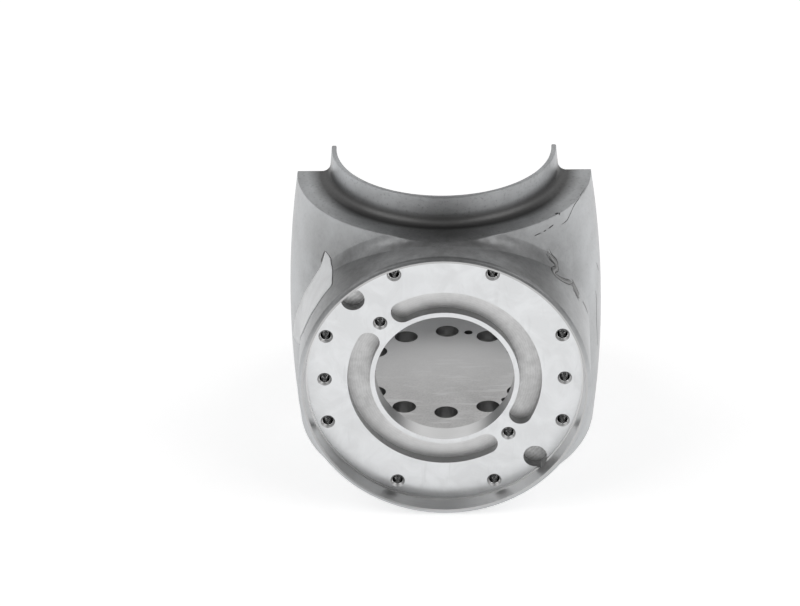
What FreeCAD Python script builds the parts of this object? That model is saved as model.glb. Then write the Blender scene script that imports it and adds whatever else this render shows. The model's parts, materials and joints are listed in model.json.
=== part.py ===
"""Die cast housing of a robot joint: one aluminium casting with machined faces.

Frame: +Z up along the joint axis, origin at the centre of the base face.
The round flange faces -Y, its axis is horizontal and crosses the joint axis.
The upper rear of the barrel is open, from the rear face just behind the joint axis.
All sizes are in millimetres and degrees.
"""
import FreeCAD, Part
import math
import os

import Sketcher

SIZES = {
    # round flange towards -Y, which sets the housing's width and height
    "flange_radius": 66.6,
    "flange_lift": 0.6,
    "flange_height": "=flange_radius + flange_lift",
    "flange_root": 20.0,
    # barrel: a body of revolution about Z with a slightly bellied side
    "flange_inset": 5.9,
    "belly_radius": "=flange_radius + flange_inset",
    "belly_drop": 1.2,
    "belly_height": "=flange_height - belly_drop",
    "belly_curve": 480.0,
    "base_round": 14.0,
    "base_round_height": 9.0,
    "base_round_drop": 13.02,
    "base_round_inset": 9.66,
    "shoulder_gap": 0.2,
    "shoulder_height": "=flange_height + flange_radius + shoulder_gap",
    # how far tools and rough faces run past the finished ones
    "overrun": 4.0,
    "barrel_overrun": 12.0,
    "trim_reach": 20.0,
    # neck on top of the shoulder, round its bore
    "neck_bore_radius": 46.5,
    "neck_wall": 5.1,
    "neck_rim_radius": "=neck_bore_radius + neck_wall",
    "neck_draft": 0.8,
    "neck_foot_radius": "=neck_rim_radius + neck_draft",
    "neck_height": 13.0,
    "neck_fillet": 4.0,
    "register_wall": 2.2,
    "register_radius": "=neck_rim_radius - register_wall",
    "register_depth": 10.0,
    "rim_chamfer": 0.4,
    # inside of the barrel, and the screw plate over the spigot bore
    "wall": 6.5,
    "inner_chamfer": 4.0,
    "spigot_depth": 14.0,
    "plate_thickness": 14.3,
    "plate_top": "=spigot_depth + plate_thickness",
    "spigot_inset": 20.5,
    "spigot_radius": "=belly_radius - spigot_inset",
    # face of the flange, sunk in a raised rim
    "flange_standoff": 3.9,
    "flange_reach": "=belly_radius + flange_standoff",
    "rim_width": 2.6,
    "rim_radius": "=flange_radius - rim_width",
    "rim_land": 0.9,
    "rim_draft": 1.0,
    "bevel_drop": 0.51,
    "bevel_step": 1.19,
    "recess_depth": 8.8,
    "step_width": 0.6,
    "step_height": 1.6,
    "recess_radius": "=rim_radius - rim_draft - step_width",
    "blend_radius": 7.0,
    # bore through the flange and the relief behind it
    "flange_bore_radius": 31.8,
    "flange_thickness": 10.0,
    "relief_depth": 4.4,
    "relief_step": 6.2,
    "relief_radius": "=flange_bore_radius + relief_step",
    "chamber_wall": 12.6,
    "chamber_radius": "=flange_radius - chamber_wall",
    "chamber_floor": "=flange_thickness + relief_depth",
    "chamber_gap": 3.0,
    # kidney pockets round the flange bore
    "kidney_wall": 2.2,
    "kidney_width": 10.3,
    "kidney_radius": "=flange_bore_radius + kidney_wall + kidney_width / 2",
    "kidney_depth": 5.2,
    "kidney_half_sweep": 73.7,
    "kidney_middle": 45.0,
    # tapped holes in the flange face
    "thread_core": 5.0,
    "thread_mouth": 6.6,
    "thread_floor": 2.4,
    "thread_depth": "=chamber_floor - thread_floor",
    "circle_margin": 4.4,
    "flange_circle_radius": "=recess_radius - circle_margin",
    "flange_circle_start": 22.5,
    "side_margin": 7.8,
    "side_pair_radius": "=recess_radius - side_margin",
    "inner_pair_offset": 1.65,
    "inner_pair_radius": "=kidney_radius + inner_pair_offset",
    "diagonal": 135.0,
    # flat-bottomed locating seats on the diagonal
    "seat_diameter": 10.8,
    "seat_depth": 5.5,
    # screw circle and dowel holes of the screw plate
    "plate_circle_inset": 13.0,
    "plate_circle_radius": "=spigot_radius - plate_circle_inset",
    "plate_hole": 6.6,
    "plate_head": 11.0,
    "plate_head_depth": 6.0,
    "dowel_diameter": 4.0,
    "dowel_start": 75.0,
    # opening at the upper rear
    "rear_face": 1.0,
    "rear_sill": 52.0,
    "rear_corner": 16.0,
}
FLANGE_SCREWS = 8
PLATE_SCREWS = 12
DOWELS = 3

LEAST_CHANGE = 0.001  # cubic millimetres a feature has to add or cut
SEAM_STEPS = 6  # parts an edge is divided into when its course is looked at
SEAM_GAP = 0.02  # how far the flange's seam may lie off the flange's cylinder
SEAM_MARGIN = 1.0  # how far behind the flange's face the seam starts

doc = FreeCAD.newDocument("die_cast_housing")
sheet = doc.addObject("Spreadsheet::Sheet", "sizes")
for row, (alias, value) in enumerate(SIZES.items(), start=1):
    sheet.set("A%d" % row, alias)
    sheet.set("B%d" % row, str(value))
    sheet.setAlias("B%d" % row, alias)
doc.recompute()


def bound(text):
    """Turn a formula in size names into one that reads the sheet."""
    words = []
    word = ""
    for letter in text + " ":
        if letter.isalnum() or letter == "_":
            word += letter
            continue
        words.append("sizes." + word if word in SIZES else word)
        words.append(letter)
        word = ""
    return "".join(words).strip()


def value_of(text):
    """Work out a formula in size names as a plain number."""
    return float(sheet.evalExpression(bound(text)))


body = doc.addObject("PartDesign::Body", "housing")
body.Label = "housing"


def origin_plane(role):
    return next(item for item in body.Origin.OriginFeatures if item.Role == role)


def new_sketch(name, role, across="0", up="0", out="0", turn="0"):
    """Add a sketch on an origin plane, moved by formulas along its own axes."""
    sketch = body.newObject("Sketcher::SketchObject", name)
    sketch.AttachmentSupport = [(origin_plane(role), "")]
    sketch.MapMode = "FlatFace"
    for axis, text in (("x", across), ("y", up), ("z", out)):
        if text != "0":
            sketch.setExpression("AttachmentOffset.Base." + axis, bound(text))
    if turn != "0":
        sketch.setExpression("AttachmentOffset.Rotation.Angle", bound(turn))
    doc.recompute()
    return sketch


def hold(sketch, geometry, point, across, up):
    """Fix one point of a sketch by its two formulas."""
    for kind, text, axis in (("DistanceX", across, -2), ("DistanceY", up, -1)):
        if text == "0":
            sketch.addConstraint(Sketcher.Constraint("PointOnObject", geometry, point, axis))
            continue
        rule = Sketcher.Constraint(kind, -1, 1, geometry, point, value_of(text))
        index = sketch.addConstraint(rule)
        sketch.setExpression("Constraints[%d]" % index, bound(text))


def arc_between(start, end, radius, side):
    """Arc between two points; side 1 bulges to the right of the way, -1 to the left."""
    if side < 0:
        start, end = end, start
    half = math.hypot(end[0] - start[0], end[1] - start[1]) / 2
    along = math.atan2(end[1] - start[1], end[0] - start[0])
    reach = math.sqrt(radius ** 2 - half ** 2)
    middle_x = (start[0] + end[0]) / 2 - reach * math.sin(along)
    middle_y = (start[1] + end[1]) / 2 + reach * math.cos(along)
    opening = math.asin(half / radius)
    facing = along - math.pi / 2
    circle = Part.Circle(FreeCAD.Vector(middle_x, middle_y, 0), FreeCAD.Vector(0, 0, 1), radius)
    return Part.ArcOfCircle(circle, facing - opening, facing + opening)


def outline(sketch, corners):
    """Draw a closed outline; each corner is (across, up) with an optional (radius, side) arc after it."""
    places = [(value_of(corner[0]), value_of(corner[1])) for corner in corners]
    count = len(corners)
    first = sketch.GeometryCount
    ends = []
    for index, corner in enumerate(corners):
        start = places[index]
        end = places[(index + 1) % count]
        if len(corner) > 2:
            sketch.addGeometry(arc_between(start, end, value_of(corner[2]), corner[3]), False)
            ends.append((1, 2) if corner[3] > 0 else (2, 1))
        else:
            sketch.addGeometry(Part.LineSegment(FreeCAD.Vector(*start, 0), FreeCAD.Vector(*end, 0)), False)
            ends.append((1, 2))
    for index, corner in enumerate(corners):
        following = (index + 1) % count
        join = (first + index, ends[index][1], first + following, ends[following][0])
        sketch.addConstraint(Sketcher.Constraint("Coincident", *join))
        hold(sketch, first + index, ends[index][0], corner[0], corner[1])
        if len(corner) > 2:
            rule = Sketcher.Constraint("Radius", first + index, value_of(corner[2]))
            number = sketch.addConstraint(rule)
            sketch.setExpression("Constraints[%d]" % number, bound(corner[2]))
    doc.recompute()


def volume():
    """Volume of the body so far."""
    return body.Shape.Volume if body.Tip else 0.0


def feature(kind, name, sketch):
    """Add a feature made from a sketch, still to be sized and settled."""
    made = body.newObject("PartDesign::" + kind, name)
    made.Profile = sketch
    sketch.Visibility = False
    return made


def settle(made, before, grows):
    """Build a feature and check that it adds material, or cuts some."""
    doc.recompute()
    change = volume() - before
    if change * (1 if grows else -1) <= LEAST_CHANGE:
        raise RuntimeError("%s changes nothing: %.3f" % (made.Name, change))
    return made


def turn(kind, name, sketch, axis):
    """Revolve a sketch about one of its own axes, as material or as a cut."""
    before = volume()
    made = feature(kind, name, sketch)
    made.ReferenceAxis = (sketch, [axis])
    made.Angle = 360.0
    made.Refine = False
    return settle(made, before, kind == "Revolution")


def sink(name, sketch, depth, **settings):
    """Cut a sketch straight in to a depth given as a formula."""
    before = volume()
    made = feature("Pocket", name, sketch)
    for key, value in settings.items():
        setattr(made, key, value)
    made.setExpression("Length", bound(depth))
    return settle(made, before, False)


def repeat(name, original, axis_sketch, count):
    """Repeat a cut evenly round the normal of a sketch."""
    before = volume()
    made = body.newObject("PartDesign::PolarPattern", name)
    made.Originals = [original]
    made.Axis = (axis_sketch, ["N_Axis"])
    made.Angle = 360.0
    made.Occurrences = count
    body.Tip = made
    return settle(made, before, False)


def side_radius(height, inset="0"):
    """Formula for the barrel's side radius at a height, less an inset."""
    return ("belly_radius - %s - belly_curve + sqrt(belly_curve ^ 2 - (belly_height - (%s)) ^ 2)"
            % (inset, height))


# --- barrel, drawn beyond its two end faces so that the blend can run past them ---
barrel_sketch = new_sketch("barrel_profile", "XZ_Plane")
low = "base_round_height - base_round_drop"
low_radius = side_radius("base_round_height") + " - base_round_inset"
top = "shoulder_height + barrel_overrun"
outline(barrel_sketch, [
    ("0", low),
    (low_radius, low, "base_round", 1),
    (side_radius("base_round_height"), "base_round_height", "belly_curve", 1),
    (side_radius(top), top),
    ("0", top),
])
turn("Revolution", "barrel", barrel_sketch, "V_Axis")

# --- flange boss, revolved about its own horizontal axis, its face sunk inside a raised rim ---
face = "flange_reach"
lip = "flange_reach + recess_depth"
ledge = "flange_reach + step_height"
boss_sketch = new_sketch("flange_profile", "YZ_Plane", up="flange_height")
outline(boss_sketch, [
    ("-flange_root", "0"),
    ("-(%s)" % face, "0"),
    ("-(%s)" % face, "recess_radius"),
    ("-(%s)" % ledge, "recess_radius"),
    ("-(%s)" % ledge, "recess_radius + step_width"),
    ("-(%s)" % lip, "rim_radius"),
    ("-(%s)" % lip, "rim_radius + rim_land"),
    ("-(%s) + bevel_drop" % lip, "rim_radius + rim_land + bevel_step"),
    ("-(%s) + flange_radius - rim_radius - rim_land" % lip, "flange_radius"),
    ("-flange_root", "flange_radius"),
])
turn("Revolution", "flange", boss_sketch, "H_Axis")


def edges_where(test):
    return ["Edge%d" % (number + 1) for number, edge in enumerate(body.Shape.Edges) if test(edge)]


def on_barrel_and_flange(edge):
    """True for the seam where the flange's cylinder runs into the barrel's side."""
    height = value_of("flange_height")
    radius = value_of("flange_radius")
    reach = value_of("flange_reach")
    length = edge.LastParameter - edge.FirstParameter
    for step in range(SEAM_STEPS + 1):
        place = edge.valueAt(edge.FirstParameter + length * step / SEAM_STEPS)
        off = abs(math.hypot(place.x, place.z - height) - radius)
        if off > SEAM_GAP or -place.y > reach - SEAM_MARGIN:
            return False
    return True


seam = edges_where(on_barrel_and_flange)
unblended = volume()
blend = body.newObject("PartDesign::Fillet", "flange_blend")
blend.Base = (body.getObject("flange"), seam)
blend.setExpression("Radius", bound("blend_radius"))
settle(blend, unblended, True)

# --- shoulder and base faces, cut square across the barrel ---
beyond = "belly_radius + trim_reach"
trim_sketch = new_sketch("end_faces", "XZ_Plane")
for level, end in (("shoulder_height", "shoulder_height + trim_reach"), ("0", "-trim_reach")):
    outline(trim_sketch, [("0", level), (beyond, level), (beyond, end), ("0", end)])
turn("Groove", "end_faces_cut", trim_sketch, "V_Axis")

# --- neck: a thin drafted ring with a fillet at its foot ---
rim = "shoulder_height + neck_height"
foot = "shoulder_height - overrun"
neck_sketch = new_sketch("neck_profile", "XZ_Plane")
outline(neck_sketch, [
    ("neck_bore_radius", foot),
    ("neck_foot_radius + neck_fillet", foot),
    ("neck_foot_radius + neck_fillet", "shoulder_height", "neck_fillet", -1),
    ("neck_foot_radius", "shoulder_height + neck_fillet"),
    ("neck_rim_radius", rim + " - rim_chamfer"),
    ("neck_rim_radius - rim_chamfer", rim),
    ("neck_bore_radius", rim),
])
turn("Revolution", "neck", neck_sketch, "V_Axis")

# --- inside of the barrel, above the screw plate, and the spigot bore under it ---
floor_turn = "plate_top + inner_chamfer"
ceiling = "shoulder_height - wall"
ceiling_turn = ceiling + " - inner_chamfer"
inside_sketch = new_sketch("inside_profile", "XZ_Plane")
outline(inside_sketch, [
    ("0", "plate_top"),
    (side_radius(floor_turn, "wall") + " - inner_chamfer", "plate_top"),
    (side_radius(floor_turn, "wall"), floor_turn),
    (side_radius(ceiling_turn, "wall"), ceiling_turn),
    (side_radius(ceiling_turn, "wall") + " - inner_chamfer", ceiling),
    ("neck_bore_radius", ceiling),
    ("neck_bore_radius", rim + " - register_depth"),
    ("register_radius", rim + " - register_depth"),
    ("register_radius", rim + " - rim_chamfer"),
    ("register_radius + rim_chamfer", rim),
    ("register_radius + rim_chamfer", rim + " + overrun"),
    ("0", rim + " + overrun"),
])
outline(inside_sketch, [
    ("0", "-overrun"),
    ("spigot_radius", "-overrun"),
    ("spigot_radius", "plate_top - plate_thickness"),
    ("0", "plate_top - plate_thickness"),
])
turn("Groove", "inside", inside_sketch, "V_Axis")

# --- chamber behind the flange, with a flat floor just above the screw plate ---
chamber_sketch = new_sketch("chamber_outline", "XZ_Plane")
chord = "plate_top + chamber_gap"
half_chord = "sqrt(chamber_radius ^ 2 - (flange_height - (%s)) ^ 2)" % chord
chamber_sketch.addGeometry(Part.LineSegment(
    FreeCAD.Vector(-value_of(half_chord), value_of(chord), 0),
    FreeCAD.Vector(value_of(half_chord), value_of(chord), 0)), False)
dip = math.asin((value_of("flange_height") - value_of(chord)) / value_of("chamber_radius"))
ring = Part.Circle(FreeCAD.Vector(0, value_of("flange_height"), 0), FreeCAD.Vector(0, 0, 1),
                   value_of("chamber_radius"))
chamber_sketch.addGeometry(Part.ArcOfCircle(ring, -dip, math.pi + dip), False)
chamber_sketch.addConstraint(Sketcher.Constraint("Coincident", 0, 2, 1, 1))
chamber_sketch.addConstraint(Sketcher.Constraint("Coincident", 0, 1, 1, 2))
chamber_sketch.addConstraint(Sketcher.Constraint("Horizontal", 0))
hold(chamber_sketch, 1, 3, "0", "flange_height")
for kind, at, text in (("Radius", (1,), "chamber_radius"), ("DistanceY", (-1, 1, 0, 1), chord)):
    number = chamber_sketch.addConstraint(Sketcher.Constraint(kind, *at, value_of(text)))
    chamber_sketch.setExpression("Constraints[%d]" % number, bound(text))
sink("chamber", chamber_sketch, "flange_reach - chamber_floor", Reversed=True)

# --- bore through the flange, with a wider relief on its inner side ---
bore_sketch = new_sketch("bore_profile", "YZ_Plane", up="flange_height")
outline(bore_sketch, [
    ("-(%s) - overrun" % lip, "0"),
    ("-(%s) - overrun" % lip, "flange_bore_radius"),
    ("-flange_reach + flange_thickness", "flange_bore_radius"),
    ("-flange_reach + flange_thickness", "relief_radius"),
    ("-flange_reach + chamber_floor + overrun", "relief_radius"),
    ("-flange_reach + chamber_floor + overrun", "0"),
])
turn("Groove", "flange_bore", bore_sketch, "H_Axis")

# --- two kidney pockets, opposite each other in the flange face ---
kidney_sketch = new_sketch("kidney_outline", "XZ_Plane", up="flange_height", out="flange_reach",
                           turn="kidney_middle")
sweep = math.radians(value_of("kidney_half_sweep"))
middle = value_of("kidney_radius")
half_width = value_of("kidney_width") / 2
upright = FreeCAD.Vector(0, 0, 1)
for radius in (middle + half_width, middle - half_width):
    circle = Part.Circle(FreeCAD.Vector(0, 0, 0), upright, radius)
    kidney_sketch.addGeometry(Part.ArcOfCircle(circle, -sweep, sweep), False)
for side in (1, -1):
    centre = FreeCAD.Vector(middle * math.cos(sweep), side * middle * math.sin(sweep), 0)
    circle = Part.Circle(centre, upright, half_width)
    start = side * sweep if side > 0 else -sweep - math.pi
    kidney_sketch.addGeometry(Part.ArcOfCircle(circle, start, start + math.pi), False)
for side in (1, -1):
    tip = FreeCAD.Vector(middle * math.cos(sweep), side * middle * math.sin(sweep), 0)
    kidney_sketch.addGeometry(Part.LineSegment(FreeCAD.Vector(0, 0, 0), tip), True)
for joined in ((0, 3, -1, 1), (1, 3, -1, 1), (4, 1, -1, 1), (5, 1, -1, 1), (4, 2, 2, 3), (5, 2, 3, 3)):
    kidney_sketch.addConstraint(Sketcher.Constraint("Coincident", *joined))
for touching in ((0, 2, 2, 1), (2, 2, 1, 2), (1, 1, 3, 1), (3, 2, 0, 1)):
    kidney_sketch.addConstraint(Sketcher.Constraint("Tangent", *touching))
for arc, text in ((0, "kidney_radius + kidney_width / 2"), (1, "kidney_radius - kidney_width / 2")):
    number = kidney_sketch.addConstraint(Sketcher.Constraint("Radius", arc, value_of(text)))
    kidney_sketch.setExpression("Constraints[%d]" % number, bound(text))
for at, share in (((-1, 1, 4, 1), 1), ((5, 1, 4, 1), 2)):
    number = kidney_sketch.addConstraint(Sketcher.Constraint("Angle", *at, share * sweep))
    kidney_sketch.setExpression("Constraints[%d]" % number, "%d * sizes.kidney_half_sweep * 1 deg" % share)
kidney = sink("kidney", kidney_sketch, "kidney_depth")
repeat("kidneys", kidney, kidney_sketch, 2)


def flange_hole(name, radius, start, profile, count):
    """Cut a hole into the flange face at a radius and an angle, and repeat it about the flange's axis."""
    place = {"out": "%s * cos(%s * 1 deg)" % (radius, start),
             "up": "flange_height + %s * sin(%s * 1 deg)" % (radius, start)}
    sketch = new_sketch(name + "_profile", "YZ_Plane", **place)
    outline(sketch, profile)
    cut = turn("Groove", name, sketch, "H_Axis")
    return repeat(name + "s", cut, kidney_sketch, count)


core = "thread_core / 2"
mouth = "thread_mouth / 2"
tapped = [
    ("-flange_reach - overrun", "0"),
    ("-flange_reach - overrun", mouth),
    ("-flange_reach", mouth),
    ("-flange_reach + (%s - %s)" % (mouth, core), core),
    ("-flange_reach + thread_depth", core),
    ("-flange_reach + thread_depth", "0"),
]
flange_hole("circle_thread", "flange_circle_radius", "flange_circle_start", tapped, FLANGE_SCREWS)
flange_hole("side_thread", "side_pair_radius", "0", tapped, 2)
flange_hole("inner_thread", "inner_pair_radius", "diagonal", tapped, 2)
flat = [
    ("-(%s) - overrun" % lip, "0"),
    ("-(%s) - overrun" % lip, "seat_diameter / 2"),
    ("-flange_reach + seat_depth", "seat_diameter / 2"),
    ("-flange_reach + seat_depth", "0"),
]
flange_hole("locating_seat", "flange_circle_radius", "diagonal", flat, 2)


def plate_hole(name, start, profile, count):
    """Cut a hole down through the inner plate and repeat it about the joint axis."""
    sketch = new_sketch(name + "_profile", "XZ_Plane",
                        across="plate_circle_radius * cos(%s * 1 deg)" % start,
                        out="-plate_circle_radius * sin(%s * 1 deg)" % start)
    outline(sketch, profile)
    cut = turn("Groove", name, sketch, "V_Axis")
    return repeat(name + "s", cut, plate_axis, count)


plate_axis = new_sketch("plate_axis", "XY_Plane")
under = "plate_top - plate_thickness - overrun"
plate_hole("plate_screw", "90", [
    ("0", under),
    ("plate_hole / 2", under),
    ("plate_hole / 2", "plate_top - plate_head_depth"),
    ("plate_head / 2", "plate_top - plate_head_depth"),
    ("plate_head / 2", "plate_top + overrun / 2"),
    ("0", "plate_top + overrun / 2"),
], PLATE_SCREWS)
plate_hole("dowel_hole", "dowel_start", [
    ("0", under),
    ("dowel_diameter / 2", under),
    ("dowel_diameter / 2", "plate_top + overrun / 2"),
    ("0", "plate_top + overrun / 2"),
], DOWELS)

# --- opening at the upper rear, down to a sill ---
opening_sketch = new_sketch("opening_profile", "YZ_Plane")
past = "belly_radius + overrun"
outline(opening_sketch, [
    ("rear_face", rim + " + overrun"),
    ("rear_face", "rear_sill + rear_corner", "rear_corner", 1),
    ("rear_face + rear_corner", "rear_sill"),
    (past, "rear_sill"),
    (past, rim + " + overrun"),
])
sink("rear_opening", opening_sketch, "2 * (belly_radius + overrun)", Midplane=True)

# --- checks and export ---
doc.recompute()
for item in doc.Objects:
    if "Invalid" in item.State or "Error" in item.State:
        raise RuntimeError("%s is not built: %s" % (item.Name, item.State))
if body.Shape.isNull() or not body.Shape.isValid() or len(body.Shape.Solids) != 1:
    raise RuntimeError("the housing is not one valid solid")
os.makedirs("parts", exist_ok=True)
body.Shape.Solids[0].exportStep("parts/%s.step" % body.Label)
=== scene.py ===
"""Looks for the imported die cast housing: metals, marks, a bare sticker, light, floor and camera."""
import json
import math

import bmesh
import bpy
from mathutils import Matrix, Vector
from mathutils.bvhtree import BVHTree


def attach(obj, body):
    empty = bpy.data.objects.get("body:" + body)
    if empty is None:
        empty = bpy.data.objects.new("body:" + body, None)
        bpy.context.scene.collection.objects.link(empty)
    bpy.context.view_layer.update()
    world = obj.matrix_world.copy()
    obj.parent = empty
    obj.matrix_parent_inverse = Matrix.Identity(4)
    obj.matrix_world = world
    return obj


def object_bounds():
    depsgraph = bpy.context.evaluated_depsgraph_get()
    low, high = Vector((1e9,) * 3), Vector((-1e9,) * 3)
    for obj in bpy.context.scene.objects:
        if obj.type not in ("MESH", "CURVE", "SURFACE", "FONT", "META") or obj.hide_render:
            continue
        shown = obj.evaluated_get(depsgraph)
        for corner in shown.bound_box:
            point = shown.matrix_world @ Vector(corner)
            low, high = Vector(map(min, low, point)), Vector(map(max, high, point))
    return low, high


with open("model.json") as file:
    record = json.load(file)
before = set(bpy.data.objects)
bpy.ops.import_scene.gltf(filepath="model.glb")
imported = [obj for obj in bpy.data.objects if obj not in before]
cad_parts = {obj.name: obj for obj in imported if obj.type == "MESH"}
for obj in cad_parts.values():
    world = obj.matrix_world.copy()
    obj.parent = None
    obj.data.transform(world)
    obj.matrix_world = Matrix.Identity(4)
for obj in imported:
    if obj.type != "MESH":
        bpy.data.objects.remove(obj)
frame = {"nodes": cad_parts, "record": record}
cad_box = [list(corner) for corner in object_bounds()]
housing = frame["nodes"]["housing"]
mounts = {mount["name"]: mount for mount in frame["record"]["mounts"]}

MM = 0.001


def mount_size(mount, name):
    """Size of a mount, in metres."""
    return mounts[mount]["dims"][name] * MM


# places and sizes from the frame
FACE_Y = mounts["flange_face"]["pos_m"][1]
AXIS_Z = mounts["flange_bore"]["pos_m"][2]
RIM_Z = mounts["neck_rim"]["pos_m"][2]
REAR_Y = mounts["rear_face"]["pos_m"][1]
BORE_R = mount_size("flange_bore", "r_mm")
REGISTER_R = mount_size("flange_register", "r_mm")
SPIGOT_R = mount_size("spigot_bore", "r_mm")
SPIGOT_DEPTH = mount_size("spigot_bore", "length_mm")
PLATE_CIRCLE_R = mount_size("plate_screws", "pcd_mm") / 2
SEAT_OFFSET = mount_size("locating_seats", "pcd_mm") / 2 * math.sqrt(0.5)
SEAT_R = mount_size("locating_seats", "hole_r_mm")

# sizes of the casting that the frame doesn't name
NECK_HEIGHT = 13 * MM
SHOULDER_Z = RIM_Z - NECK_HEIGHT
EDGE_RADIUS = 0.9 * MM
TURNING_PITCH = 0.5 * MM
POCKET_PITCH = 1.1 * MM
SEAT_PITCH = 1.6 * MM


# --- shader helpers --------------------------------------------------------------------------

class Graph:
    """A material's node tree with short calls for the nodes used here."""

    def __init__(self, name):
        self.material = bpy.data.materials.new(name)
        self.material.use_nodes = True
        self.tree = self.material.node_tree
        self.shader = self.tree.nodes["Principled BSDF"]
        self.places = self.add("ShaderNodeTexCoord").outputs["Object"]

    def add(self, kind, inputs=None, **settings):
        made = self.tree.nodes.new(kind)
        for key, value in settings.items():
            setattr(made, key, value)
        for key, value in (inputs or {}).items():
            self.feed(made, key, value)
        return made

    def feed(self, made, key, value):
        if isinstance(value, bpy.types.NodeSocket):
            self.tree.links.new(value, made.inputs[key])
        else:
            made.inputs[key].default_value = value

    def math(self, operation, first, second=0.0, third=0.0):
        inputs = {0: first, 1: second, 2: third}
        return self.add("ShaderNodeMath", inputs, operation=operation).outputs[0]

    def noise(self, scale, detail=3.0, roughness=0.55, distortion=0.0, vector=None):
        inputs = {"Vector": vector or self.places, "Scale": scale, "Detail": detail,
                  "Roughness": roughness, "Distortion": distortion}
        return self.add("ShaderNodeTexNoise", inputs).outputs["Fac"]

    def between(self, value, low, high, to_low=0.0, to_high=1.0):
        inputs = {"Value": value, "From Min": low, "From Max": high,
                  "To Min": to_low, "To Max": to_high}
        return self.add("ShaderNodeMapRange", inputs, clamp=True).outputs["Result"]

    def blend(self, factor, first, second):
        made = self.add("ShaderNodeMix", data_type="RGBA")
        self.feed(made, 0, factor)
        self.feed(made, 6, first)
        self.feed(made, 7, second)
        return made.outputs[2]

    def bump(self, height, strength, distance, normal=None):
        inputs = {"Height": height, "Strength": strength, "Distance": distance}
        if normal is not None:
            inputs["Normal"] = normal
        return self.add("ShaderNodeBump", inputs).outputs["Normal"]

    def rounded(self, radius):
        """Surface normal with the sharp edges softened."""
        return self.add("ShaderNodeBevel", {"Radius": radius}, samples=6).outputs["Normal"]

    def axes(self):
        """Object places as separate X, Y and Z, in metres."""
        return self.add("ShaderNodeSeparateXYZ", {"Vector": self.places}).outputs

    def product(self, *factors):
        total = factors[0]
        for factor in factors[1:]:
            total = self.math("MULTIPLY", total, factor)
        return total

    def flange_radius(self):
        """Distance from the flange's axis, in metres."""
        axes = self.axes()
        rise = self.math("SUBTRACT", axes["Z"], AXIS_Z)
        across = self.math("MULTIPLY", axes["X"], axes["X"])
        return self.math("SQRT", self.math("MULTIPLY_ADD", rise, rise, across))

    def stretched(self, x, y, z):
        """Object places scaled along each axis, for grain that runs one way."""
        inputs = {0: self.places, 1: (x, y, z)}
        return self.add("ShaderNodeVectorMath", inputs, operation="MULTIPLY").outputs[0]

    def boss_painted_shade(self, axes):
        """Mask of painted shade over the upper half of the flange boss, fading outward and towards the
        back.
        """
        radius = self.flange_radius()
        rise = self.math("DIVIDE", self.math("SUBTRACT", axes["Z"], AXIS_Z), radius)
        near = self.between(radius, REGISTER_R + 5 * MM, REGISTER_R + 27 * MM, 1.0, 0.0)
        over = self.between(rise, 0.10, 0.75)
        ahead = self.between(axes["Y"], -22 * MM, -38 * MM)
        return self.product(near, over, ahead)

    def shoulder_painted_shade(self, axes, level):
        """Mask of painted shade at the front of the shoulder, fading to both sides."""
        middle = self.between(self.math("ABSOLUTE", axes["X"]), 8 * MM, 52 * MM, 1.0, 0.0)
        front = self.between(axes["Y"], -46 * MM, -58 * MM)
        return self.product(middle, front, level)

    def foot_painted_shade(self, axes, level):
        """Mask of painted shade all round the foot of the neck, a little over full strength, which
        darkens the highlight on the fillet there.
        """
        square = self.math("MULTIPLY", axes["Y"], axes["Y"])
        reach = self.math("SQRT", self.math("MULTIPLY_ADD", axes["X"], axes["X"], square))
        outer = self.between(reach, 57 * MM, 63 * MM, 1.0, 0.0)
        inner = self.between(reach, 51 * MM, 52.3 * MM)
        low = self.between(axes["Z"], SHOULDER_Z + 3 * MM, SHOULDER_Z + 8 * MM, 1.0, 0.0)
        return self.product(outer, inner, low, level, 1.30)

    def painted_shade(self):
        """Mask for painted shade: on the boss, the shoulder and the neck's foot."""
        axes = self.axes()
        level = self.between(axes["Z"], SHOULDER_Z - 1 * MM, SHOULDER_Z)
        cloud = self.between(self.noise(160.0, 4.0, 0.65), 0.3, 0.7, 0.70, 1.0)
        most = self.math("MAXIMUM", self.boss_painted_shade(axes), self.shoulder_painted_shade(axes, level))
        clouded = self.math("MULTIPLY", most, cloud)
        return self.math("MAXIMUM", clouded, self.foot_painted_shade(axes, level))

    def finish(self, color, roughness, metallic=1.0, normal=None):
        self.feed(self.shader, "Base Color", color)
        self.feed(self.shader, "Roughness", roughness)
        self.shader.inputs["Metallic"].default_value = metallic
        if normal is not None:
            self.feed(self.shader, "Normal", normal)
        return self.material


def grey(level, blue=0.0):
    """Opaque grey, a touch bluer where asked."""
    return (level * (1 - blue), level, level * (1 + blue), 1.0)


# --- metals ----------------------------------------------------------------------------------

def cast_skin(name, dark, light, rough, pitted):
    """Skin of the die casting: cloudy grey, finely pitted, more so where it is coarser, with painted
    shade on the boss, the shoulder and round the neck's foot.
    """
    g = Graph(name)
    cloud = g.noise(38.0, 4.0)
    fine = g.noise(700.0, 3.0, 0.7)
    grain = g.noise(2200.0, 2.0, 0.6)
    color = g.blend(g.between(cloud, 0.35, 0.65), grey(dark, 0.015), grey(light, 0.02))
    specks = g.between(fine, 0.56, 0.70, 0.0, pitted)
    color = g.blend(specks, color, grey(0.20))
    # Painted shade: darker grey over the upper flange boss, the front of the shoulder and round the
    # neck's foot.
    color = g.blend(g.math("MULTIPLY", g.painted_shade(), 0.72), color, grey(0.10, -0.01))
    roughness = g.between(fine, 0.3, 0.7, rough - 0.04, rough + 0.06)
    normal = g.bump(fine, 0.2 + pitted, 0.00012, g.rounded(EDGE_RADIUS))
    normal = g.bump(grain, 0.25, 0.00005, normal)
    return g.finish(color, roughness, 1.0, normal)


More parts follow.
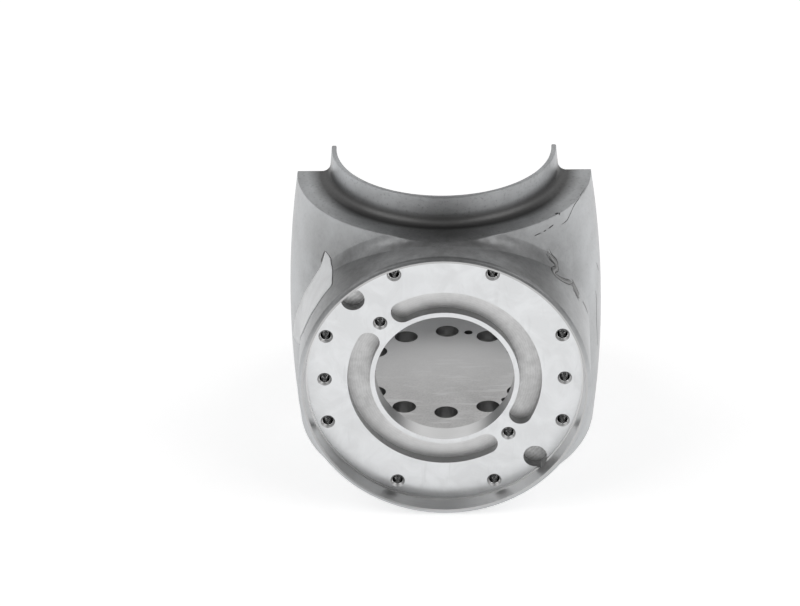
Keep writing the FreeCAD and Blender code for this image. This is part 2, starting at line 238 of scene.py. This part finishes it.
def machined_face():
    """Milled flange face: bright, with wiped smears and fine turning marks."""
    g = Graph("machined_face")
    smear = g.noise(55.0, 4.0, 0.6, 1.6)
    cloud = g.noise(18.0, 3.0)
    color = g.blend(g.between(smear, 0.40, 0.62), grey(0.70, 0.012), grey(0.76, 0.014))
    wipes = g.noise(1.0, 3.0, 0.6, 0.8, g.stretched(160.0, 20.0, 45.0))
    color = g.blend(g.between(wipes, 0.60, 0.72, 0.0, 0.35), color, grey(0.58, 0.01))
    turned = g.math("SINE", g.math("MULTIPLY", g.flange_radius(), 2 * math.pi / TURNING_PITCH))
    roughness = g.between(cloud, 0.3, 0.7, 0.28, 0.38)
    normal = g.bump(turned, 0.05, 0.00002)
    return g.finish(color, roughness, 1.0, normal)


def milled(name, dark, light, pitch, rough, ends=0.0):
    """Floor cut by an end mill going round the flange's axis; ends adds painted light, lightening it
    high and low.
    """
    g = Graph(name)
    wobble = g.noise(180.0, 3.0, 0.6)
    radius = g.math("MULTIPLY_ADD", wobble, 2.5 * pitch, g.flange_radius())
    cutter = g.math("SINE", g.math("MULTIPLY", radius, 2 * math.pi / pitch))
    fine = g.noise(1200.0, 3.0)
    tone = g.math("MULTIPLY_ADD", cutter, 0.06, g.noise(230.0, 4.0, 0.65))
    color = g.blend(g.between(tone, 0.32, 0.68), grey(dark), grey(light))
    if ends:
        # Painted light: lighter above and below the flange's axis, most below.
        rise = g.axes()["Z"]
        above = g.between(rise, AXIS_Z + 15 * MM, AXIS_Z + 45 * MM, 0.0, 0.75 * ends)
        below = g.between(rise, AXIS_Z - 15 * MM, AXIS_Z - 45 * MM, 0.0, ends)
        color = g.blend(g.math("MAXIMUM", above, below), color, grey(0.86))
    normal = g.bump(cutter, 0.08, 0.00003)
    normal = g.bump(fine, 0.25, 0.00005, normal)
    return g.finish(color, rough, 1.0, normal)


def machined_wall(name, dark, light, rough, painted_shade_low_left=0.0):
    """Turned or milled wall with bands along the flange's axis; its last argument sets painted shade
    that darkens it low on the left.
    """
    g = Graph(name)
    bands = g.noise(1.0, 2.0, vector=g.stretched(60.0, 1600.0, 60.0))
    cloud = g.noise(90.0, 3.0)
    tone = g.math("MULTIPLY_ADD", bands, 0.5, g.math("MULTIPLY", cloud, 0.5))
    color = g.blend(tone, grey(dark), grey(light))
    # Painted shade: darker low on the left of the flange.
    if painted_shade_low_left:
        axes = g.axes()
        low = g.between(axes["Z"], AXIS_Z - 20 * MM, AXIS_Z - 42 * MM)
        left = g.between(axes["X"], -4 * MM, -26 * MM)
        color = g.blend(g.product(low, left, painted_shade_low_left), color, grey(0.10))
    return g.finish(color, rough, 1.0, g.bump(bands, 0.1, 0.00003))


def plate_skin():
    """Blasted top of the screw plate, mottled and lightly scratched, with painted light that lightens
    it towards the back.
    """
    g = Graph("plate_skin")
    cloud = g.noise(60.0, 5.0, 0.65)
    fine = g.noise(1000.0, 3.0, 0.7)
    scratch = g.noise(1.0, 2.0, 0.6, 0.4, g.stretched(60.0, 300.0, 60.0))
    tone = g.math("MULTIPLY_ADD", fine, 0.6, g.math("MULTIPLY", cloud, 0.6))
    color = g.blend(g.between(tone, 0.40, 0.80), grey(0.54, -0.006), grey(0.80, -0.006))
    color = g.blend(g.between(scratch, 0.56, 0.66, 0.0, 0.6), color, grey(0.86))
    # Painted light: lighter towards the back of the plate.
    color = g.blend(g.between(g.axes()["Y"], -25 * MM, 25 * MM, 0.0, 0.95), color, grey(0.98))
    roughness = g.between(fine, 0.3, 0.7, 0.44, 0.54)
    return g.finish(color, roughness, 1.0, g.bump(fine, 0.25, 0.00006))


def hole_wall():
    """Freshly cut hole, bright inside."""
    g = Graph("hole_wall")
    cloud = g.noise(500.0, 2.0)
    color = g.blend(cloud, grey(0.80), grey(0.90))
    return g.finish(color, g.between(cloud, 0.3, 0.7, 0.08, 0.14))


def sticker_paper():
    """Pale matt paper with faint fibres."""
    g = Graph("sticker_paper")
    cloud = g.noise(120.0, 3.0)
    fibres = g.noise(900.0, 3.0, 0.7)
    color = g.blend(g.between(cloud, 0.35, 0.65), grey(0.84, 0.01), grey(0.92, 0.012))
    return g.finish(color, 0.45, 0.0, g.bump(fibres, 0.15, 0.00004))


def mark_metal(name, level, metallic=0.6):
    """Dull metal of one level, for the marks on the skin."""
    g = Graph(name)
    fine = g.noise(1500.0, 2.0)
    color = g.blend(fine, grey(level * 0.8), grey(level * 1.2))
    return g.finish(color, 0.6, metallic, g.bump(fine, 0.2, 0.00004))


# --- which surface of the casting gets which metal -------------------------------------------

PAINT = {
    "cast": cast_skin("cast_skin", 0.47, 0.55, 0.40, 0.10),
    "coarse": cast_skin("coarse_skin", 0.42, 0.54, 0.42, 0.40),
    "face": machined_face(),
    # Pocket floor: its last number sets painted light above and below the axis.
    "pocket_floor": milled("pocket_floor", 0.52, 0.66, POCKET_PITCH, 0.50, 0.75),
    "seat_floor": milled("seat_floor", 0.50, 0.86, SEAT_PITCH, 0.55),
    "wall": machined_wall("machined_wall", 0.50, 0.62, 0.30),
    # Pocket walls: a darker copy of the machined wall, as painted shade in the pockets.
    "pocket_wall": machined_wall("pocket_wall", 0.36, 0.46, 0.36),
    # Land: painted shade low on the left.
    "land": machined_wall("rim_land", 0.46, 0.56, 0.40, 0.45),
    # Rim wall: tones lighter than the other machined walls as painted light, and painted shade low on
    # the left.
    "rim": machined_wall("rim_wall", 0.64, 0.80, 0.38, 0.45),
    "bore": machined_wall("bore_wall", 0.62, 0.74, 0.30),
    "plate": plate_skin(),
    "plate_hole": machined_wall("plate_hole", 0.44, 0.62, 0.28),
    "seat_wall": machined_wall("seat_wall", 0.26, 0.40, 0.22),
    "chamfer": machined_wall("chamfer", 0.40, 0.50, 0.40),
    "hole": hole_wall(),
}
NAMES = list(PAINT)

SQUARE = 0.95  # cosine above which a face counts as square to an axis
NEAR = 0.1 * MM
POCKET_REACH = (33 * MM, 46 * MM)
POCKET_DEPTH = 5.5 * MM
FLOOR_DEPTH = 8 * MM
CHAMFER_DEPTH = 0.85 * MM
SEAT_DEPTH = 6 * MM
FACE_REACH = REGISTER_R + 0.2 * MM
RIM_REACH = REGISTER_R + 1.65 * MM
LAND_REACH = REGISTER_R + 2.6 * MM
HOLE_DEPTH = 12.5 * MM
RELIEF_DEPTH = 9.5 * MM
RELIEF_REACH = (BORE_R + 0.5 * MM, BORE_R + 6.35 * MM)
PLATE_LEVEL = (28 * MM, 28.5 * MM)
PLATE_HOLE_REACH = PLATE_CIRCLE_R + 7 * MM
PLATE_HOLE_TOP = 28.4 * MM


def flange_region(rho, depth, facing):
    """Region of the flange from its radius, its depth below the face and how it faces forward."""
    if facing > SQUARE:
        if abs(depth) < NEAR:
            return "face"
        if depth < 0:
            return "rim"
        return "pocket_floor" if depth < FLOOR_DEPTH else "hole"
    if depth < 0:
        return "rim"
    if abs(rho - BORE_R) < 4 * NEAR:
        return "bore"
    if POCKET_REACH[0] < rho < POCKET_REACH[1] and depth < POCKET_DEPTH:
        return "pocket_wall"
    return "chamfer" if depth < CHAMFER_DEPTH else "hole"


def in_locating_seat(place, depth):
    """True inside one of the two flat-bottomed seats on the flange's diagonal."""
    across, up = abs(place.x), abs(place.z - AXIS_Z)
    opposite = place.x * (place.z - AXIS_Z) < 0
    within = math.hypot(across - SEAT_OFFSET, up - SEAT_OFFSET) < SEAT_R + NEAR
    return opposite and within and NEAR < depth < SEAT_DEPTH


def in_relief(place, rho, depth):
    """True in the relief behind the flange bore."""
    return (depth > RELIEF_DEPTH and RELIEF_REACH[0] < rho < RELIEF_REACH[1]
            and place.y < -BORE_R)


def flange_side(place, normal):
    """Region of a place on the flange or in it, or None elsewhere."""
    rho = math.hypot(place.x, place.z - AXIS_Z)
    depth = place.y - FACE_Y
    if in_locating_seat(place, depth):
        return "seat_floor" if normal.y < -SQUARE else "seat_wall"
    if in_relief(place, rho, depth):
        return "wall"
    if rho < FACE_REACH and depth < HOLE_DEPTH:
        return flange_region(rho, depth, -normal.y)
    if rho < RIM_REACH and depth < -NEAR:
        return "rim"
    if rho < LAND_REACH and depth < -NEAR and normal.y < -SQUARE:
        return "land"
    return None


def barrel_side(place, normal):
    """Region of a place on the barrel, the neck or the screw plate."""
    radius = math.hypot(place.x, place.y)
    if abs(normal.z) > SQUARE and PLATE_LEVEL[0] < place.z < PLATE_LEVEL[1]:
        return "plate"
    if radius < PLATE_HOLE_REACH and SPIGOT_DEPTH <= place.z < PLATE_HOLE_TOP:
        return "plate_hole"
    if place.z < SPIGOT_DEPTH + NEAR and radius < SPIGOT_R + NEAR:
        return "wall"
    if place.z > SHOULDER_Z - NEAR:
        return "coarse"
    rear = normal.y > SQUARE and abs(place.y - REAR_Y) < NEAR
    base = normal.z < -SQUARE and place.z < NEAR
    return "wall" if rear or base else "cast"


mesh = housing.data
mesh.materials.clear()
for name in NAMES:
    mesh.materials.append(PAINT[name])
for polygon in mesh.polygons:
    place, normal = polygon.center, polygon.normal
    name = flange_side(place, normal) or barrel_side(place, normal)
    polygon.material_index = NAMES.index(name)


# --- threads of the tapped holes -------------------------------------------------------------

THREAD_PITCH = 1.0 * MM
THREAD_HEIGHT = 0.35 * MM
THREAD_START = FACE_Y + 1.0 * MM
THREAD_TURNS = 10
THREAD_SIDES = 48
THREAD_SINK = 0.02 * MM  # how far the sleeve's back lies in the wall of the hole
THREAD_ROOT = 0.01 * MM
DIAGONAL = 135


def circle_places(circle, angles):
    """Places (x, z) on a mount's circle round the flange's axis, at angles in degrees."""
    reach = mount_size(circle, "pcd_mm") / 2
    return [(reach * math.cos(math.radians(angle)), AXIS_Z + reach * math.sin(math.radians(angle)))
            for angle in angles]


def tapped_places():
    """Places (x, z) of all the tapped holes in the flange's face."""
    count = mounts["flange_screws"]["dims"]["count"]
    places = circle_places("flange_screws", [(step + 0.5) * 360 / count for step in range(count)])
    places += circle_places("inner_screws", (DIAGONAL, DIAGONAL + 180))
    side = mount_size("side_screws", "spacing_x_mm") / 2
    return places + [(side, AXIS_Z), (-side, AXIS_Z)]


def thread_profile(core):
    """Closed section of the sleeve, as pairs of place along the hole and radius."""
    end = THREAD_START + THREAD_TURNS * THREAD_PITCH
    profile = [(THREAD_START, core + THREAD_SINK)]
    for turn in range(THREAD_TURNS):
        profile += [(THREAD_START + turn * THREAD_PITCH, core - THREAD_ROOT),
                    (THREAD_START + (turn + 0.5) * THREAD_PITCH, core - THREAD_HEIGHT)]
    return profile + [(end, core - THREAD_ROOT), (end, core + THREAD_SINK)]


def add_threads():
    """Sleeve of thread ridges in each tapped hole of the flange."""
    profile = thread_profile(mount_size("flange_screws", "hole_r_mm"))
    angles = [2 * math.pi * step / THREAD_SIDES for step in range(THREAD_SIDES)]
    builder = bmesh.new()
    for across, up in tapped_places():
        rings = []
        for y, radius in profile:
            corners = [(across + radius * math.cos(angle), y, up + radius * math.sin(angle))
                       for angle in angles]
            rings.append([builder.verts.new(corner) for corner in corners])
        for ring, following in zip(rings, rings[1:] + rings[:1]):
            for step in range(THREAD_SIDES):
                turned = (step + 1) % THREAD_SIDES
                builder.faces.new((ring[step], ring[turned], following[turned], following[step]))
    return add_piece("threads", builder, PAINT["hole"])


# --- marks on the casting and the bare sticker -----------------------------------------------

MARK_PROUD = 0.06 * MM
MARK_EDGE = 0.03 * MM
MARK_STEPS = 5
MARK_TIP = 0.25  # share of a mark's width at its ends
MARK_TAPER = 4.0
STICKER_PROUD = 0.25 * MM
STICKER_BACK = 0.2  # share of that height at which the sticker's back lies
STICKER_ROWS = 48
STICKER_COLUMNS = 14
STICKER_STEPS = 6
STICKER_INSET = 0.02  # share of the width left free at each side
surface = BVHTree.FromPolygons([vertex.co.copy() for vertex in mesh.vertices],
                               [tuple(polygon.vertices) for polygon in mesh.polygons])


def rounded_course(points, steps):
    """Smooth course through points given in millimetres, as places in metres."""
    ends = [2 * points[0] - points[1]] + points + [2 * points[-1] - points[-2]]
    course = []
    for before, start, end, after in zip(ends, ends[1:], ends[2:], ends[3:]):
        for step in range(steps):
            t = step / steps
            course.append(0.5 * (2 * start + (end - before) * t
                                 + (2 * before - 5 * start + 4 * end - after) * t ** 2
                                 + (3 * start - before - 3 * end + after) * t ** 3) * MM)
    course.append(points[-1] * MM)
    return course


def settled(place):
    """Nearest place on the casting and its outward normal."""
    found, normal, _, _ = surface.find_nearest(place)
    return found, normal


def add_piece(name, builder, material):
    """Turn a built mesh into a piece that rides on the casting."""
    bmesh.ops.recalc_face_normals(builder, faces=builder.faces)
    data = bpy.data.meshes.new(name)
    builder.to_mesh(data)
    builder.free()
    data.materials.append(material)
    for polygon in data.polygons:
        polygon.use_smooth = True
    piece = bpy.data.objects.new(name, data)
    bpy.context.scene.collection.objects.link(piece)
    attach(piece, "root")
    return piece


def add_marks(name, strokes, material):
    """Thin closed beads from strokes of width, offset to the right and points, in millimetres."""
    builder = bmesh.new()
    for width, offset, points in strokes:
        course = rounded_course([Vector(point) for point in points], MARK_STEPS)
        count = len(course)
        rows = []
        for index, place in enumerate(course):
            normal = settled(place)[1]
            ahead = course[min(index + 1, count - 1)] - course[max(index - 1, 0)]
            across = ahead.cross(normal).normalized()
            middle = place + across * offset * MM
            from_end = min(index, count - 1 - index) / count
            taper = min(1.0, MARK_TIP + MARK_TAPER * from_end)
            half = across * width * MM / 2 * taper
            left, centre, right = (settled(middle + step)[0] for step in (-half, Vector(), half))
            rows.append([builder.verts.new(left + normal * MARK_EDGE),
                         builder.verts.new(centre + normal * MARK_PROUD),
                         builder.verts.new(right + normal * MARK_EDGE),
                         builder.verts.new(centre - normal * MARK_PROUD)])
        for row, following in zip(rows, rows[1:]):
            for corner in range(4):
                turned = (corner + 1) % 4
                builder.faces.new((row[corner], row[turned], following[turned], following[corner]))
        builder.faces.new(rows[0])
        builder.faces.new(rows[-1])
    return add_piece(name, builder, material)


CRACK = ((64.4, -18.5, 134), (61.0, -29.4, 133.5), (59.1, -33.3, 132.4), (57.7, -36.2, 130.4),
         (56.3, -38.8, 128.6), (55.0, -40.6, 128.2), (53.6, -42.6, 128.1))
add_marks("hairline_crack", (
    (0.42, 0.0, CRACK),
    (0.60, 0.0, ((49.9, -46.5, 130.1), (48.7, -47.8, 129.7), (47.6, -49.0, 129.4))),
    (0.55, 0.0, ((46.6, -49.9, 129.2), (45.3, -51.1, 129.0))),
    (0.50, 0.0, ((44.2, -52.2, 128.9), (42.6, -53.5, 128.8), (41.2, -54.6, 128.6))),
), mark_metal("crack_shade", 0.12))
add_marks("pit", (
    (2.0, 0.0, ((50.9, -44.0, 134), (52.0, -43.1, 134), (53.1, -42.2, 134))),
), mark_metal("pit_shade", 0.04))

FLOW_UPPER = ((47.1, -51.2, 118.8), (48.5, -50.7, 116.0), (50.7, -49.4, 112.2),
              (51.6, -51.2, 110.4), (50.0, -55.8, 111.8), (50.6, -58.0, 110.4),
              (53.0, -56.0, 107.0), (55.7, -51.9, 103.7), (57.6, -47.6, 101.0), (58.6, -46.0, 99.0))
FLOW_LOWER = ((58.4, -46.6, 99.4), (59.6, -46.2, 97.2), (60.8, -46.8, 95.0), (61.5, -47.2, 92.6))
FLOW_LAST = ((62.8, -42.0, 88.0), (64.3, -39.0, 83.4), (65.6, -35.7, 78.7))
add_marks("flow_fill", (
    (2.6, 0.0, FLOW_UPPER),
    (7.5, 0.0, FLOW_LOWER),
    (1.6, 0.0, FLOW_LAST),
), mark_metal("flow_grey", 0.33, 0.9))
add_marks("flow_outline", (
    (0.50, 1.35, FLOW_UPPER),
    (0.50, -1.35, FLOW_UPPER),
    (0.60, 3.8, FLOW_LOWER),
    (0.60, -3.8, FLOW_LOWER),
    (0.35, 0.6, FLOW_LAST),
), mark_metal("flow_shade", 0.11))
add_marks("side_streaks", (
    (0.50, 0.0, ((69.6, -19.5, 81.4), (70.1, -18.2, 75.5), (70.1, -18.5, 65.1),
                 (70.7, -14.9, 49.8))),
    (0.50, 0.0, ((70.1, -15.2, 93.8), (70.9, -13.2, 90.4), (71.1, -11.5, 87.6))),
), mark_metal("streak_shade", 0.22))


STICKER_TIP = (-53.9, -44.5, 116.0)
STICKER_SIDE = (STICKER_TIP, (-51.8, -47.1, 114.4), (-51.0, -49.5, 111.1), (-50.5, -59.2, 110.6),
                (-50.4, -65.4, 110.8), (-50.4, -67.0, 110.6))
STICKER_RIGHT = STICKER_SIDE + (
    (-51.5, -67.6, 109.2), (-55.3, -68.0, 104.4), (-58.2, -68.5, 99.5), (-61.0, -67.0, 93.9),
    (-62.6, -66.5, 90.0), (-65.0, -61.0, 81.7), (-66.8, -42.0, 68.0), (-68.0, -24.8, 56.6))
STICKER_LEFT = (STICKER_TIP, (-56.4, -42.6, 107.5), (-58.6, -40.3, 102.8), (-61.4, -36.8, 96.3),
                (-64.2, -32.4, 89.4), (-66.6, -28.0, 81.7), (-68.8, -22.8, 73.1),
                (-70.1, -18.3, 64.8), (-71.0, -13.8, 55.9))


def spaced(course, count):
    """A count of places evenly along a course."""
    lengths = [0.0]
    for start, end in zip(course, course[1:]):
        lengths.append(lengths[-1] + (end - start).length)
    places = []
    at = 0
    for index in range(count):
        wanted = lengths[-1] * index / (count - 1)
        while at < len(course) - 2 and lengths[at + 1] < wanted:
            at += 1
        share = (wanted - lengths[at]) / max(lengths[at + 1] - lengths[at], 1e-9)
        places.append(course[at].lerp(course[at + 1], share))
    return places


def add_sticker():
    """Bare paper sticker, pressed on between its two edges."""
    rows, columns = STICKER_ROWS, STICKER_COLUMNS
    left, right = (spaced(rounded_course([Vector(point) for point in edge], STICKER_STEPS), rows)
                   for edge in (STICKER_LEFT, STICKER_RIGHT))
    builder = bmesh.new()
    grid = []
    for row in range(rows):
        line = []
        for column in range(columns):
            share = STICKER_INSET + (1 - 2 * STICKER_INSET) * column / (columns - 1)
            found, normal = settled(left[row].lerp(right[row], share))
            line.append((builder.verts.new(found + normal * STICKER_PROUD),
                         builder.verts.new(found + normal * STICKER_PROUD * STICKER_BACK)))
        grid.append(line)
    for row in range(rows - 1):
        for column in range(columns - 1):
            for layer in (0, 1):
                builder.faces.new((grid[row][column][layer], grid[row][column + 1][layer],
                                   grid[row + 1][column + 1][layer], grid[row + 1][column][layer]))
    outer = [grid[0][column] for column in range(columns)]
    outer += [grid[row][-1] for row in range(1, rows)]
    outer += [grid[-1][column] for column in range(columns - 2, -1, -1)]
    outer += [grid[row][0] for row in range(rows - 2, 0, -1)]
    for start, end in zip(outer, outer[1:] + outer[:1]):
        builder.faces.new((start[0], end[0], end[1], start[1]))
    return add_piece("bare_sticker", builder, sticker_paper())


add_threads()
add_sticker()
# Painted shadow along the sticker's right edge, and painted shade of the curled corner at its tip.
add_marks("sticker_edge_painted_shadow", (
    (0.45, 0.0, STICKER_SIDE),
    (1.3, 0.4, (STICKER_TIP, (-54.9, -43.8, 112.6), (-55.8, -43.0, 109.4))),
), mark_metal("sticker_painted_shadow", 0.14))


# --- camera at the photograph's angle --------------------------------------------------------

ELEVATION = math.radians(28.413)
AZIMUTH = math.radians(0.726)
ROLL = math.radians(0.708)
DISTANCE = 2.4479
AIM = Vector((0.0, 0.0, 0.0681))
SENSOR = 36.0
LENS = 235.8
SHIFT = (-0.0572, -0.0078)


def add_camera():
    """Camera that looks down at the flange, turned and rolled by small angles."""
    away = Vector((math.sin(AZIMUTH) * math.cos(ELEVATION),
                   -math.cos(AZIMUTH) * math.cos(ELEVATION),
                   math.sin(ELEVATION)))
    level = Vector((math.cos(AZIMUTH), math.sin(AZIMUTH), 0.0))
    upright = away.cross(level)
    right = level * math.cos(ROLL) - upright * math.sin(ROLL)
    up = level * math.sin(ROLL) + upright * math.cos(ROLL)
    data = bpy.data.cameras.new("camera")
    data.sensor_width = SENSOR
    data.lens = LENS
    data.shift_x, data.shift_y = SHIFT
    data.clip_end = 50.0
    camera = bpy.data.objects.new("camera", data)
    bpy.context.scene.collection.objects.link(camera)
    turned = Matrix((right, up, away)).transposed().to_4x4()
    camera.matrix_world = Matrix.Translation(AIM + away * DISTANCE) @ turned
    bpy.context.scene.camera = camera


# --- floor, world and lamps ------------------------------------------------------------------

FLOOR_REACH = 6.0
FLOOR_GLOW = 0.55
BEHIND = ((0.0, 0.35), (0.15, 0.22), (0.34, 1.00), (0.56, 0.95), (0.74, 0.20))
BEFORE = ((0.0, 0.40), (0.20, 0.18), (0.55, 0.20), (0.95, 0.30))
TURN_BAND = 0.4
SOFTBOX_ASIDE = 2.4
SOFTBOX_AHEAD = 1.4
SOFTBOX_UP = 2.4
SOFTBOX_SIZE = 3.0
SOFTBOX_POWER = 36.0


def add_floor():
    """White floor that keeps the object's shadow and glows only where it is seen or mirrored."""
    builder = bmesh.new()
    bmesh.ops.create_grid(builder, x_segments=1, y_segments=1, size=FLOOR_REACH)
    data = bpy.data.meshes.new("floor")
    builder.to_mesh(data)
    builder.free()
    floor = bpy.data.objects.new("floor", data)
    floor.location.z = cad_box[0][2]
    bpy.context.scene.collection.objects.link(floor)
    g = Graph("floor_white")
    path = g.add("ShaderNodeLightPath").outputs
    seen = g.math("MAXIMUM", path["Is Camera Ray"], path["Is Glossy Ray"])
    seen = g.math("MAXIMUM", seen, path["Is Transmission Ray"])
    g.feed(g.shader, "Base Color", grey(0.80))
    g.feed(g.shader, "Roughness", 0.9)
    g.feed(g.shader, "Specular IOR Level", 0.0)
    g.feed(g.shader, "Emission Color", grey(1.0))
    g.feed(g.shader, "Emission Strength", g.math("MULTIPLY", seen, FLOOR_GLOW))
    data.materials.append(g.material)


def tone_ramp(tree, value, stops):
    """Grey levels along a value from 0 to 1, as (position, level) pairs."""
    ramp = tree.nodes.new("ShaderNodeValToRGB")
    tree.links.new(value, ramp.inputs[0])
    elements = ramp.color_ramp.elements
    while len(elements) < len(stops):
        elements.new(1.0)
    for element, (position, level) in zip(elements, stops):
        element.position = position
        element.color = grey(level)
    return ramp.outputs["Color"]


def add_world():
    """Studio round the object: a bright wall behind it, a darker room over and in front of it."""
    world = bpy.data.worlds.new("studio")
    bpy.context.scene.world = world
    world.use_nodes = True
    tree = world.node_tree
    places = tree.nodes.new("ShaderNodeTexCoord").outputs["Generated"]
    split = tree.nodes.new("ShaderNodeSeparateXYZ")
    tree.links.new(places, split.inputs[0])
    behind = tone_ramp(tree, split.outputs["Z"], BEHIND)
    before = tone_ramp(tree, split.outputs["Z"], BEFORE)
    turn = tree.nodes.new("ShaderNodeMapRange")
    turn.interpolation_type = "SMOOTHSTEP"
    turn.inputs["From Min"].default_value = -TURN_BAND
    turn.inputs["From Max"].default_value = TURN_BAND
    tree.links.new(split.outputs["Y"], turn.inputs["Value"])
    mixed = tree.nodes.new("ShaderNodeMix")
    mixed.data_type = "RGBA"
    tree.links.new(turn.outputs["Result"], mixed.inputs[0])
    tree.links.new(before, mixed.inputs[6])
    tree.links.new(behind, mixed.inputs[7])
    background = tree.nodes["Background"]
    tree.links.new(mixed.outputs[2], background.inputs["Color"])
    background.inputs["Strength"].default_value = 1.0


def add_softbox(name, side):
    """Square lamp above and before the object, on the side given by its sign."""
    data = bpy.data.lights.new(name, "AREA")
    data.shape = "SQUARE"
    data.size = SOFTBOX_SIZE
    data.energy = SOFTBOX_POWER
    lamp = bpy.data.objects.new(name, data)
    lamp.location = (side * SOFTBOX_ASIDE, -SOFTBOX_AHEAD, SOFTBOX_UP)
    lamp.rotation_euler = (AIM - lamp.location).to_track_quat("-Z", "Y").to_euler()
    bpy.context.scene.collection.objects.link(lamp)


bpy.context.scene.view_settings.view_transform = "Standard"
add_camera()
add_floor()
add_world()
add_softbox("left_softbox", -1)
add_softbox("right_softbox", 1)
